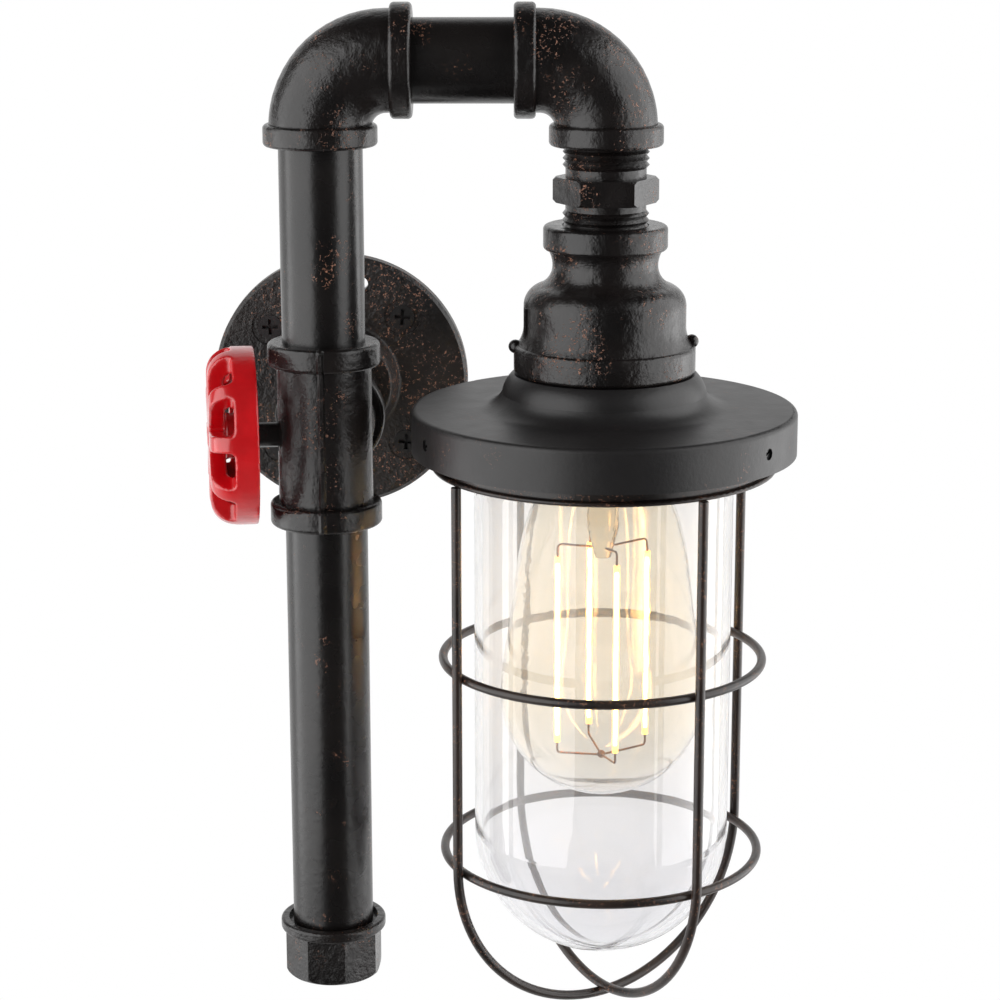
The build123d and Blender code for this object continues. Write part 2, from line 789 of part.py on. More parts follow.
def bulb_glass_outline(inset):
    """Half outline of the envelope, from the pole up to its neck."""
    belly_r = bulb_r - inset
    neck = (bulb_neck_r - inset, 0, bulb_mouth - bulb_neck_foot)
    belly = (belly_r, 0, bulb_belly)
    drop = neck[2] - bulb_belly
    flank = [(neck[0] + out * (bulb_r - bulb_neck_r), 0, neck[2] - down * drop) for down, out in bulb_flanks]
    pole = (0, 0, bulb_belly - belly_r)
    slant = belly_r / math.sqrt(2)
    end = ThreePointArc(pole, (slant, 0, bulb_belly - slant), belly)
    side = Spline(belly, *flank, neck, tangents=[(0, 0, 1), (-bulb_neck_slant, 0, 1)])
    return pole, end, side, neck


def bulb_envelope():
    pole_out, end_out, side_out, neck_out = bulb_glass_outline(0)
    pole_in, end_in, side_in, neck_in = bulb_glass_outline(bulb_glass)
    lip_out = (neck_out[0], 0, bulb_mouth + bulb_neck_in)
    lip_in = (neck_in[0], 0, bulb_mouth + bulb_neck_in)
    return lamp * turned_edges(end_out, side_out, Line(neck_out, lip_out), Line(lip_out, lip_in),
                               Line(lip_in, neck_in), side_in, end_in, Line(pole_in, pole_out))


def bulb_screw_cap():
    crest_r = bulb_cap_d / 2 + bulb_ridge
    lid_r = bulb_lid_bore_d / 2
    lid_top = skirt_top + bulb_lid_height
    body = threaded(crest_r, 2 * bulb_ridge, bulb_cap_d / 2 - bulb_cap_wall, bulb_mouth, skirt_top, bulb_ridge_pitch)
    lid = turned((lid_r, skirt_top), (crest_r - 2 * bulb_ridge, skirt_top), (lid_r + bulb_lid_edge, lid_top),
                 (lid_r, lid_top))
    return lamp * (body + lid)


def bulb_insulator():
    low = skirt_top - insulator_sink
    radius = bulb_lid_bore_d / 2 - fit_gap
    top_r = (radius + bulb_contact_d / 2) / 2
    return lamp * turned((0, low), (radius, low), (radius, low + insulator_straight),
                         (top_r, skirt_top + insulator_height), (0, skirt_top + insulator_height))


def bulb_contact():
    low = skirt_top + insulator_height + seat_gap
    radius = bulb_contact_d / 2
    return lamp * turned((0, low), (radius, low), (radius - contact_edge, low + contact_edge),
                         (contact_tip_d / 2, bulb_top), (0, bulb_top))


def stem_radius(rise):
    """Radius of the stem's taper at a height above its tip."""
    return (stem_tip_d + (stem_d - stem_tip_d) * rise / stem_taper) / 2


def bulb_stem():
    """Glass stem, flared at the neck where it joins the envelope."""
    neck_r = bulb_neck_r - bulb_glass - fit_gap
    top = bulb_mouth + bulb_neck_in
    return lamp * turned((0, stem_tip), (stem_radius(0), stem_tip), (stem_radius(stem_taper), stem_tip + stem_taper),
                         (stem_d / 2, top - stem_flare), (neck_r, top - stem_flare_edge), (neck_r, top), (0, top))


def filament_spots():
    radius = filament_circle_d / 2
    step = 360 / filament_count
    return [around(filament_turn + k * step, radius).position for k in range(filament_count)]


def bulb_filaments():
    one = rod(filament_d / 2, filament_foot, filament_top)
    return [lamp * Pos(*spot) * one for spot in filament_spots()]


def bulb_wires():
    """Wires from the stem to the filament tops, and the crosswires that join their feet to the bead."""
    start_r = stem_radius(wire_start_rise + wire_d) + seat_gap
    start_z = stem_tip + wire_start_rise
    bead_centre = filament_foot - bead_drop
    wires = [Pos(0, 0, bead_centre) * Sphere(bead_d / 2)]
    for spot in filament_spots():
        x, y, _ = spot
        start = spot.normalized() * start_r
        near = spot.normalized() * (bead_d / 2 + seat_gap)
        upper = [(start.X, start.Y, start_z), (x, y, filament_top + wire_rise), (x, y, filament_top + seat_gap)]
        lower = [(x, y, filament_foot - seat_gap), (x, y, filament_foot - wire_foot_drop),
                 (near.X, near.Y, bead_centre)]
        wires += [wire(wire_d, FilletPolyline(*points, radius=wire_bend)) for points in (upper, lower)]
    return [lamp * piece for piece in wires]


# Jar, collar and cage

def jar_glass():
    """Straight wall and half-round end of the jar, up to its rim."""
    wall_top = jar_rim_z - seat_gap

    def dome(radius):
        side = radius * math.cos(math.pi / 4)
        return ThreePointArc((radius, 0, jar_spring), (side, 0, jar_spring - side), (0, 0, jar_spring - radius))

    return lamp * turned_edges(
        dome(jar_bore_r), Line((jar_bore_r, 0, jar_spring), (jar_bore_r, 0, wall_top)),
        Line((jar_bore_r, 0, wall_top), (jar_r, 0, wall_top)), Line((jar_r, 0, wall_top), (jar_r, 0, jar_spring)),
        dome(jar_r), Line((0, 0, jar_spring - jar_r), (0, 0, jar_spring - jar_bore_r)))


def jar_rim():
    """Rim that the jar hangs by."""
    blank = ring(jar_rim_r, jar_bore_r, jar_rim_z, jar_top)
    return lamp * fillet(rims(blank, jar_rim_r, jar_top, jar_rim_z), jar_rim_round)


def jar_gasket():
    return lamp * ring(jar_rim_r + gasket_margin, ledge_bore_r + gasket_margin, gasket_bottom,
                       gasket_bottom + gasket_thick)


def jar_collar():
    band = ring(collar_r, collar_r - collar_sheet, bead_z, bead_z + collar_height)
    ledge = ring(collar_r, ledge_bore_r, bead_z, ledge_top)
    bead = Pos(0, 0, bead_z) * Torus(collar_r + bead_ring_proud - bead_ring_d / 2, bead_ring_d / 2)
    return lamp * (band + ledge + bead)


def hoop(foot, angle):
    """U-shaped wire: two legs that meet in a half circle under the jar."""
    spring = foot + leg_r
    left = Line((-leg_r, 0, leg_top), (-leg_r, 0, spring))
    arc = ThreePointArc((-leg_r, 0, spring), (0, 0, foot), (leg_r, 0, spring))
    right = Line((leg_r, 0, spring), (leg_r, 0, leg_top))
    return lamp * Rot(0, 0, angle + 90) * wire(cage_wire_d, Wire([left, arc, right]))


def cage_ring(drop):
    """Ring inside the legs, narrowed where they already curve inwards."""
    height = bead_z - drop
    below_spring = max(0.0, high_foot + leg_r - height)
    leg_here = math.sqrt(leg_r ** 2 - below_spring ** 2)
    radius = leg_here - (cage_wire_d + cage_ring_wire_d) / 2 - seat_gap
    return lamp * Pos(0, 0, height) * Torus(radius, cage_ring_wire_d / 2)


# Handwheel and spindle

def on_spindle(shape):
    """Turns a shape built along Z so that it points left from the tee, along the spindle."""
    return pipe * along_spindle(shape)


def wheel_rib():
    """One rib in the XZ plane: up from the band, round the crown and in to the hub."""
    run_r = wheel_d / 2 - wheel_band_inset - wheel_rib_thick / 2
    back = wheel_start + wheel_band / 2
    crown_z = wheel_start + wheel_depth - wheel_rib_thick / 2
    bend_z = crown_z - wheel_crown_bend
    root_r = wheel_hub_d / 2 - wheel_rib_root
    upright = Line((run_r, 0, back), (run_r, 0, bend_z))
    bend = TangentArc((run_r, 0, bend_z), (run_r - wheel_crown_bend, 0, crown_z), tangent=(0, 0, 1))
    inward = Line((run_r - wheel_crown_bend, 0, crown_z), (root_r, 0, crown_z))
    section = RectangleRounded(wheel_rib_thick, wheel_rib_width, wheel_rib_round)
    return sweep(Pos(run_r, 0, back) * section, path=Wire([upright, bend, inward]))


def handwheel():
    outer = wheel_d / 2
    inner = outer - wheel_band_thick
    band_front = wheel_start + wheel_band
    band = ring(outer, inner, wheel_start, band_front)
    corners = rims(band, outer, wheel_start, band_front) + rims(band, inner, wheel_start, band_front)
    body = fillet(corners, wheel_band_round)
    rib = wheel_rib()
    for k in range(wheel_rib_count):
        body += Rot(0, 0, wheel_rib_first + k * 360 / wheel_rib_count) * rib
    body += rod(wheel_hub_d / 2, hub_back, hub_front)
    hole_side = spindle_square + 2 * fit_gap
    square_hole = Pos(0, 0, wheel_start + wheel_depth / 2) * Box(hole_side, hole_side, 2 * wheel_depth)
    return on_spindle(body - square_hole)


def wheel_spindle():
    square_top = hub_front - seat_gap
    square_length = square_top - hub_back + merge
    nut_inside = hub_front + wheel_nut_height - wheel_nut_skin
    body = rod(spindle_r, clip_top - clip_thick - spindle_tail, hub_back - seat_gap)
    body += Pos(0, 0, square_top - square_length / 2) * Box(spindle_square, spindle_square, square_length)
    body += rod(spindle_thread_d / 2, square_top - merge, nut_inside - seat_gap)
    groove = ring(spindle_d, clip_groove_d / 2, clip_top - clip_thick, clip_top)
    return on_spindle(body - groove)


def spindle_bush():
    return on_spindle(ring(bush_r, spindle_r + running_gap, bush_inner_face, tee_r - bush_sink))


def spindle_clip():
    groove_r = clip_groove_d / 2
    blank = ring(groove_r + clip_wide, groove_r + fit_gap, clip_top - clip_thick + fit_gap, clip_top - fit_gap)
    mouth = Pos(0, 2 * groove_r, clip_top) * Box(spindle_thread_d, 4 * groove_r, 4 * clip_thick)
    return on_spindle(blank - mouth)


def wheel_nut():
    """Domed nut that holds the handwheel on the spindle."""
    corner = wheel_nut_flats / math.sqrt(3)
    low = hub_front + seat_gap
    top = low + wheel_nut_height
    dome = rod(corner, low, top)
    dome = fillet(rims(dome, corner, top), wheel_nut_round)
    hole = rod(spindle_thread_d / 2 + fit_gap, low - through, top - wheel_nut_skin)
    return on_spindle((hexagon_nut(corner, low, wheel_nut_height) & dome) - hole)


nodes = {
    "wall_flange": wall_flange(),
    "wall_plate": wall_plate(),
    "flange_screws": flange_screws(),
    "earth_screw": earth_screw(),
    "terminal_block": terminal_block(),
    "terminal_screws": terminal_screws(),
    "lamp_lead": lamp_lead(),
    "wall_nipple": wall_nipple(),
    "tee": tee(),
    "upper_tube": upright_tube(tee_half - tee_socket, elbow_face + elbow_socket),
    "lower_tube": upright_tube(end_bottom + end_floor, tee_socket - tee_half),
    "end_cap": end_cap(),
    "left_elbow": left_elbow(),
    "top_tube": top_tube(),
    "right_elbow": right_elbow(),
    "hex_nipple": hex_nipple(),
    "bell_reducer": bell_reducer(),
    "lamp_cap": lamp_cap(),
    "cap_screws": cap_screws(),
    "lamp_holder": lamp_holder(),
    "holder_base": holder_base(),
    "holder_shell": holder_shell(),
    "holder_contact": holder_contact(),
    "holder_stud": holder_stud(),
    "stud_nuts": stud_nuts(),
    "holder_ring": holder_ring(),
    "bulb_envelope": bulb_envelope(),
    "bulb_screw_cap": bulb_screw_cap(),
    "bulb_insulator": bulb_insulator(),
    "bulb_contact": bulb_contact(),
    "bulb_stem": bulb_stem(),
    "bulb_filaments": bulb_filaments(),
    "bulb_wires": bulb_wires(),
    "jar_glass": jar_glass(),
    "jar_rim": jar_rim(),
    "jar_gasket": jar_gasket(),
    "jar_collar": jar_collar(),
    "cage_hoop_low": hoop(low_foot, cage_turn),
    "cage_hoop_high": hoop(high_foot, cage_turn + 90),
    "cage_middle_ring": cage_ring(middle_ring_drop),
    "cage_lower_ring": cage_ring(lower_ring_drop),
    "handwheel": handwheel(),
    "wheel_spindle": wheel_spindle(),
    "wheel_nut": wheel_nut(),
    "spindle_bush": spindle_bush(),
    "spindle_clip": spindle_clip(),
}

os.makedirs("parts", exist_ok=True)
for name, shape in nodes.items():
    solid = Compound(children=shape) if isinstance(shape, list) else shape
    export_step(solid, f"parts/{name}.step")
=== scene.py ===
import math

import bpy
from mathutils import Matrix, Vector


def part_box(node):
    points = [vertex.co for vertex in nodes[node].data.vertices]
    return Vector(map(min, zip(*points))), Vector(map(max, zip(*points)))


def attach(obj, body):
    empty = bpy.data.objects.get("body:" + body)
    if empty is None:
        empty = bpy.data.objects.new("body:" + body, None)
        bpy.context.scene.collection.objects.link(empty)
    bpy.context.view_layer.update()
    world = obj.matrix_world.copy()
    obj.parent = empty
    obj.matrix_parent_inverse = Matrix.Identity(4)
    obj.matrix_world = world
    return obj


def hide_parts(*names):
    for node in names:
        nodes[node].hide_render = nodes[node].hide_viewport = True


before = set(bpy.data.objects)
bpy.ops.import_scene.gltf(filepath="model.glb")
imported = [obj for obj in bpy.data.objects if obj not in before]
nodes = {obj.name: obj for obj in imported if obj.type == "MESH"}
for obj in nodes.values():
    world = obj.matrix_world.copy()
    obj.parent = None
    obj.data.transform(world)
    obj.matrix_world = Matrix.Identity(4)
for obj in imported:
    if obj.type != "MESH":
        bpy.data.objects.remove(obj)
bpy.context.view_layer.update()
mm = 0.001
lampAxis = (85.6 * mm, -85.6 * mm)      # the lamp hangs on this upright line
print("stage: frame loaded,", len(nodes), "nodes")


# Shader helpers

def srgb(red, green, blue):
    # screen colour, 0 to 255, as the linear value that a shader takes
    def linear(part):
        part /= 255
        return part / 12.92 if part <= 0.04045 else ((part + 0.055) / 1.055) ** 2.4
    return (linear(red), linear(green), linear(blue), 1.0)


class Flow:
    # a shader socket that takes part in plain arithmetic
    def __init__(self, tree, socket=None):
        self.tree, self.socket = tree, socket

    def node(self, kind, settings=(), inputs=(), output=0):
        # a new node: its settings first, then the values or links of its inputs
        made = self.tree.nodes.new(kind)
        for key, value in dict(settings).items():
            setattr(made, key, value)
        for key, value in dict(inputs).items():
            if isinstance(value, Flow):
                self.tree.links.new(value.socket, made.inputs[key])
            else:
                made.inputs[key].default_value = value
        return Flow(self.tree, made.outputs[output])

    def maths(self, operation, *values):
        return self.node("ShaderNodeMath", {"operation": operation}, enumerate(values))

    def __add__(self, other):
        return self.maths("ADD", self, other)

    def __sub__(self, other):
        return self.maths("SUBTRACT", self, other)

    def __rsub__(self, other):
        return self.maths("SUBTRACT", other, self)

    def __mul__(self, other):
        return self.maths("MULTIPLY", self, other)

    def __abs__(self):
        return self.maths("ABSOLUTE", self)

    __radd__, __rmul__ = __add__, __mul__

    def orElse(self, other):
        # the larger of two masks
        return self.maths("MAXIMUM", self, other)

    def step(self, low, high):
        # 0 below low, 1 above high, smooth between; low may be the larger one
        names = {"From Min": low, "From Max": high, "Value": self}
        return self.node("ShaderNodeMapRange", {"interpolation_type": "SMOOTHSTEP"}, names)

    def noise(self, scale, detail=2.0, roughness=0.5):
        return self.node("ShaderNodeTexNoise", inputs={
            "Vector": self, "Scale": scale, "Detail": detail, "Roughness": roughness})

    def blend(self, first, second):
        # colour that goes from first to second as this value goes from 0 to 1
        return self.node("ShaderNodeMix", {"data_type": "RGBA"}, {0: self, 6: first, 7: second}, 2)

    def moved(self, shift):
        return self.node("ShaderNodeMapping", inputs={"Vector": self, "Location": shift})

    def parts(self):
        split = self.node("ShaderNodeSeparateXYZ", inputs={"Vector": self}).socket.node
        return [Flow(self.tree, socket) for socket in split.outputs]

    def length(self):
        return self.node("ShaderNodeVectorMath", {"operation": "LENGTH"}, {0: self}, "Value")

    def bump(self, distance):
        return self.node("ShaderNodeBump", inputs={"Height": self, "Strength": 1.0, "Distance": distance})

    def ray(self, kind):
        # 1 for rays of this kind, else 0
        return self.node("ShaderNodeLightPath", output=kind)


def newMaterial(name):
    # an empty material, the start of its nodes and the object coordinates in metres
    material = bpy.data.materials.new(name)
    material.use_nodes = True
    tree = material.node_tree
    tree.nodes.clear()
    start = Flow(tree)
    place = start.node("ShaderNodeTexCoord", output="Object")
    return material, start, place


def finishMaterial(start, surface):
    output = start.tree.nodes.new("ShaderNodeOutputMaterial")
    start.tree.links.new(surface.socket, output.inputs["Surface"])


def principled(start, inputs):
    return start.node("ShaderNodeBsdfPrincipled", inputs=inputs)


def mixShaders(start, share, first, second):
    return start.node("ShaderNodeMixShader", inputs={0: share, 1: first, 2: second})


# Painted metal. Lengths in mm where not said otherwise; noise scales are per metre.

def flecks(place, look):
    # fine curled flecks where the paint lets copper through: broken contour lines, gathered in patches
    lines = abs(place.noise(look["curl"], 2.0, 0.6) - 0.5).step(look["lineWidth"], 0.0)
    breaks = place.moved((0.31, 0.17, 0.05)).noise(look["curl"] * 1.7).step(0.48, 0.62)
    patches = place.moved((0.07, 0.23, 0.11)).noise(look["patch"], 3.0, 0.6)
    patches = patches.step(look["patchFrom"], look["patchTo"])
    grains = place.moved((0.13, 0.41, 0.29)).noise(look["grain"], 1.0).step(0.66, 0.72)
    return lines * breaks * patches, grains * patches


def mouldSeam(place, look):
    # 1 along the raised line where the two halves of the mould met, down the front of a fitting on the pipe
    across, depth = place.parts()[:2]
    wander = (place.noise(90.0, 1.0) - 0.5) * look["seamWander"] * mm
    line = abs(across + wander).step(look["seam"] * mm, look["seam"] * 0.35 * mm)
    pipeDepth = lampAxis[1]
    return line * depth.step(pipeDepth, pipeDepth - look["seamFade"] * mm)


def paintedMetal(name, look):
    material, start, place = newMaterial(name)
    curls, grains = flecks(place, look)
    worn = (curls + grains * look["grainShare"]).step(0.05, 0.9) * look["fleckShare"]
    cloud = place.noise(look["cloud"], 3.0).step(0.3, 0.7)
    colour = worn.blend(cloud.blend(look["dark"], look["light"]), look["copper"])
    rough = (place.noise(look["cloud"] * 3) - 0.5) * look["roughSpread"] + look["rough"] + worn * 0.15
    fine = place.moved((0.5, 0.2, 0.1)).noise(look["fine"], 3.0, 0.6)
    height = place.noise(look["peel"]) * look["peelShare"] + fine * look["fineShare"] + worn * 0.3
    if "seam" in look:
        height = height + mouldSeam(place, look) * look["seamHeight"]
    finishMaterial(start, principled(start, {
        "Base Color": colour, "Roughness": rough, "Normal": height.bump(look["relief"] * mm),
        "Specular IOR Level": look["gloss"]}))
    return material


castLook = {
    "dark": srgb(12, 10, 10), "light": srgb(24, 20, 19), "copper": srgb(150, 104, 82), "cloud": 45.0,
    "curl": 520.0, "lineWidth": 0.035, "patch": 62.0, "patchFrom": 0.48, "patchTo": 0.64,
    "grain": 900.0, "grainShare": 0.5, "fleckShare": 0.9,
    "peel": 330.0, "peelShare": 1.0, "fine": 1500.0, "fineShare": 0.35, "relief": 0.3,
    "rough": 0.25, "roughSpread": 0.2, "gloss": 0.5,
}
teeLook = dict(castLook, seam=1.2, seamHeight=6.0, seamWander=0.6, seamFade=8.0)
flangeLook = dict(castLook, light=srgb(34, 29, 27), patchFrom=0.36, patchTo=0.54, grainShare=0.9,
                  rough=0.42, relief=0.5, peel=480.0)
tubeLook = dict(castLook, light=srgb(20, 17, 16), patchFrom=0.54, patchTo=0.7, grainShare=0.4,
                rough=0.27, roughSpread=0.1, relief=0.07, peel=420.0)
capLook = dict(castLook, dark=srgb(17, 15, 16), light=srgb(24, 22, 22), patchFrom=0.56, patchTo=0.7,
               fleckShare=0.6, rough=0.42, roughSpread=0.1, relief=0.05, peel=700.0)
wireLook = dict(castLook, dark=srgb(22, 17, 15), light=srgb(44, 34, 29), copper=srgb(128, 88, 68),
                patchFrom=0.4, patchTo=0.58, patch=90.0, rough=0.33, relief=0.08)
screwLook = dict(castLook, dark=srgb(24, 24, 25), light=srgb(36, 35, 35), fleckShare=0.2,
                 rough=0.34, relief=0.05)

castBlack = paintedMetal("castBlack", castLook)
teeBlack = paintedMetal("teeBlack", teeLook)
flangeBlack = paintedMetal("flangeBlack", flangeLook)
tubeBlack = paintedMetal("tubeBlack", tubeLook)
capBlack = paintedMetal("capBlack", capLook)
wireBlack = paintedMetal("wireBlack", wireLook)
screwBlack = paintedMetal("screwBlack", screwLook)
print("stage: painted metals")


# Plain finishes

plainLook = {
    "cloud": 120.0, "grain": 400.0, "roughSpread": 0.1, "relief": 0.02, "metal": 0.0,
    "coat": 0.0, "coatRough": 0.1,
}


def simpleFinish(name, **own):
    # one colour with a slight cloud, a roughness that varies and a shallow relief
    look = dict(plainLook, **own)
    material, start, place = newMaterial(name)
    colour = place.noise(look["cloud"]).step(0.3, 0.7).blend(look["dark"], look["light"])
    rough = (place.noise(look["grain"]) - 0.5) * look["roughSpread"] + look["rough"]
    relief = place.noise(look["grain"] * 2).bump(look["relief"] * mm)
    finishMaterial(start, principled(start, {
        "Base Color": colour, "Roughness": rough, "Normal": relief, "Metallic": look["metal"],
        "Coat Weight": look["coat"], "Coat Roughness": look["coatRough"]}))
    return material


wheelRed = simpleFinish("wheelRed", dark=srgb(168, 0, 8), light=srgb(182, 2, 12), rough=0.3,
                        roughSpread=0.06, grain=200.0, relief=0.12, coat=0.6, coatRough=0.12)
zinc = simpleFinish("zinc", dark=srgb(170, 172, 176), light=srgb(205, 207, 210), rough=0.35,
                    roughSpread=0.2, metal=1.0)
bronze = simpleFinish("bronze", dark=srgb(120, 82, 48), light=srgb(165, 120, 74), rough=0.3, metal=1.0)
brass = simpleFinish("brass", dark=srgb(196, 158, 92), light=srgb(222, 190, 124), rough=0.3, metal=1.0)
nickel = simpleFinish("nickel", dark=srgb(176, 172, 166), light=srgb(206, 202, 196), rough=0.25, metal=1.0)
holderPlastic = simpleFinish("holderPlastic", dark=srgb(22, 21, 20), light=srgb(32, 30, 29), rough=0.35)
terminalPlastic = simpleFinish("terminalPlastic", dark=srgb(222, 220, 212), light=srgb(234, 232, 226),
                               rough=0.5)
sheathBlack = simpleFinish("sheathBlack", dark=srgb(26, 26, 27), light=srgb(36, 36, 37), rough=0.6)
gasketBlack = simpleFinish("gasketBlack", dark=srgb(24, 23, 22), light=srgb(34, 32, 31), rough=0.7)
print("stage: plain finishes")


# Glass and filaments

def clearGlass(name, look):
    # clear glass that lets lamps through, so that the filaments light what is around them
    material, start, place = newMaterial(name)
    height = place.parts()[2]
    tint = height.step(look["warmFrom"], look["warmTo"]).blend(look["tint"], look["warm"])
    glass = principled(start, {
        "Base Color": tint, "Roughness": 0.0, "IOR": look["ior"], "Transmission Weight": look["clear"],
        "Normal": place.noise(look["wave"]).bump(look["relief"] * mm)})
    lampsThrough = start.node("ShaderNodeBsdfTransparent", inputs={"Color": look["tint"]})
    finishMaterial(start, mixShaders(start, start.ray("Is Shadow Ray"), glass, lampsThrough))
    return material


# the tint turns warm between two heights, in metres
jarGlass = clearGlass("jarGlass", {
    "tint": srgb(243, 243, 245), "warm": srgb(246, 245, 244), "warmFrom": -0.16, "warmTo": -0.08,
    "ior": 1.47, "clear": 0.94, "wave": 30.0, "relief": 0.15})
bulbGlass = clearGlass("bulbGlass", {
    "tint": srgb(252, 252, 252), "warm": srgb(253, 249, 239), "warmFrom": -0.135, "warmTo": -0.08,
    "ior": 1.47, "clear": 0.99, "wave": 60.0, "relief": 0.05})
stemGlass = clearGlass("stemGlass", {
    "tint": srgb(250, 246, 236), "warm": srgb(250, 240, 220), "warmFrom": -0.09, "warmTo": -0.05,
    "ior": 1.5, "clear": 1.0, "wave": 260.0, "relief": 0.9})


def glowing(name, look):
    # a coating or core that shines, with faint bands of colour along it
    material, start, place = newMaterial(name)
    colour = place.noise(look["bands"], 1.0).step(0.2, 0.7).blend(look["low"], look["high"])
    finishMaterial(start, principled(start, {
        "Base Color": look["base"], "Roughness": 0.45, "Emission Color": colour,
        "Emission Strength": look["strength"], "Alpha": look["alpha"]}))
    return material


phosphor = glowing("phosphorCoat", {
    "base": srgb(240, 190, 80), "low": (1.0, 0.48, 0.1, 1.0), "high": (1.0, 0.58, 0.15, 1.0),
    "bands": 500.0, "strength": 3.2, "alpha": 0.55})
chipGlow = glowing("chipGlow", {
    "base": srgb(255, 240, 210), "low": (1.0, 0.7, 0.34, 1.0), "high": (1.0, 0.78, 0.44, 1.0),
    "bands": 900.0, "strength": 60.0, "alpha": 1.0})
print("stage: glass and filaments")


# Finishes on the CAD nodes

finishes = {
    teeBlack: ["tee"],
    castBlack: ["left_elbow", "right_elbow", "end_cap", "bell_reducer", "hex_nipple", "spindle_bush"],
    flangeBlack: ["wall_flange"],
    tubeBlack: ["wall_nipple", "upper_tube", "lower_tube", "top_tube", "wheel_spindle"],
    capBlack: ["lamp_cap"],
    screwBlack: ["flange_screws", "cap_screws"],
    wireBlack: ["jar_collar", "cage_hoop_low", "cage_hoop_high", "cage_middle_ring", "cage_lower_ring"],
    wheelRed: ["wheel_nut"],
    zinc: ["wall_plate", "earth_screw", "terminal_screws", "holder_stud", "stud_nuts", "spindle_clip"],
    bronze: ["bulb_wires"],
    brass: ["holder_shell", "holder_contact", "bulb_contact"],
    nickel: ["bulb_screw_cap"],
    holderPlastic: ["lamp_holder", "holder_base", "holder_ring", "bulb_insulator"],
    terminalPlastic: ["terminal_block"],
    sheathBlack: ["lamp_lead"],
    jarGlass: ["jar_glass", "jar_rim"],
    bulbGlass: ["bulb_envelope"],
    stemGlass: ["bulb_stem"],
    phosphor: ["bulb_filaments"],
    gasketBlack: ["jar_gasket"],
}
for material, names in finishes.items():
    for name in names:
        for slot in nodes[name].material_slots:
            slot.material = material
print("stage: finishes on the nodes")


# Modelling helpers

def clearSelection():
    if bpy.context.object and bpy.context.object.mode != "OBJECT":
        bpy.ops.object.mode_set(mode="OBJECT")
    bpy.ops.object.select_all(action="DESELECT")


def unpickAll(piece):
    # leaves edit mode with nothing selected on the piece's mesh, and returns the mesh
    bpy.ops.object.mode_set(mode="OBJECT")
    mesh = piece.data
    for part in (mesh.vertices, mesh.edges, mesh.polygons):
        part.foreach_set("select", [False] * len(part))
    return mesh


def pickFaces(piece, wanted):
    # in edit mode: select only the faces that pass the test, which takes a face's centre and normal
    for face in unpickAll(piece).polygons:
        face.select = wanted(face.center, face.normal)
    bpy.ops.object.mode_set(mode="EDIT")


def pickEdges(piece, wanted):
    # the same for edges: the test takes the two end points
    mesh = unpickAll(piece)
    for edge in mesh.edges:
        edge.select = wanted(*(mesh.vertices[i].co for i in edge.vertices))
    bpy.ops.object.mode_set(mode="EDIT")


def applyModifier(piece, kind, **settings):
    modifier = piece.modifiers.new(kind.title(), kind)
    for key, value in settings.items():
        setattr(modifier, key, value)
    bpy.context.view_layer.objects.active = piece
    bpy.ops.object.modifier_apply(modifier=modifier.name)


# Handwheel: a cast crown with ten windows, made as a soft form.
# It is modelled in millimetres with its axis on Z and its back at 0, then laid on the spindle.

wheel = {
    "radius": 27.35, "back": 21.3, "depth": 14.5, "wall": 5.0, "sides": 80,
    "crownRound": 7.5, "crownSegments": 8, "innerRound": 4.0, "innerSegments": 5,
    "ribs": 10, "ribWidth": 5.0, "firstRib": -12.0, "bandWidth": 7.2,
    "windowRound": 1.53, "windowTip": 1.2, "windowHeight": 30.0, "windowReach": 6.0,
    "hubRadius": 7.0, "hubBack": 26.3, "hubFront": 33.5, "hubSides": 48,
    "voxel": 0.4, "softness": 13,
    "centre": (0.0, -85.6, -0.2), "turn": 8.0,       # the spindle points this many degrees towards the room
}


def buildCrown():
    clearSelection()
    depth, inner = wheel["depth"], wheel["radius"] - wheel["wall"]
    ceiling = depth - wheel["wall"]
    bpy.ops.mesh.primitive_cylinder_add(
        vertices=wheel["sides"], radius=wheel["radius"], depth=depth, location=(0, 0, depth / 2))
    crown = bpy.context.object
    bpy.ops.object.transform_apply(location=True)
    bpy.ops.object.mode_set(mode="EDIT")
    bpy.ops.mesh.select_mode(type="EDGE")
    pickEdges(crown, lambda a, b: min(a.z, b.z) > depth - 0.01)
    bpy.ops.mesh.bevel(offset=wheel["crownRound"], segments=wheel["crownSegments"])

    # hollow behind: its mouth is inset in the back and pushed in
    bpy.ops.mesh.select_mode(type="FACE")
    pickFaces(crown, lambda centre, normal: normal.z < -0.9)
    bpy.ops.mesh.inset(thickness=wheel["wall"])
    pickFaces(crown, lambda centre, normal: normal.z < -0.9 and centre.length < 1.0)
    bpy.ops.mesh.extrude_region_move(TRANSFORM_OT_translate={"value": (0, 0, ceiling)})
    bpy.ops.mesh.select_mode(type="EDGE")
    pickEdges(crown, lambda a, b: all(
        abs(end.z - ceiling) < 0.01 and abs(end.xy.length - inner) < 0.1 for end in (a, b)))
    bpy.ops.mesh.bevel(offset=wheel["innerRound"], segments=wheel["innerSegments"])
    bpy.ops.object.mode_set(mode="OBJECT")
    return crown


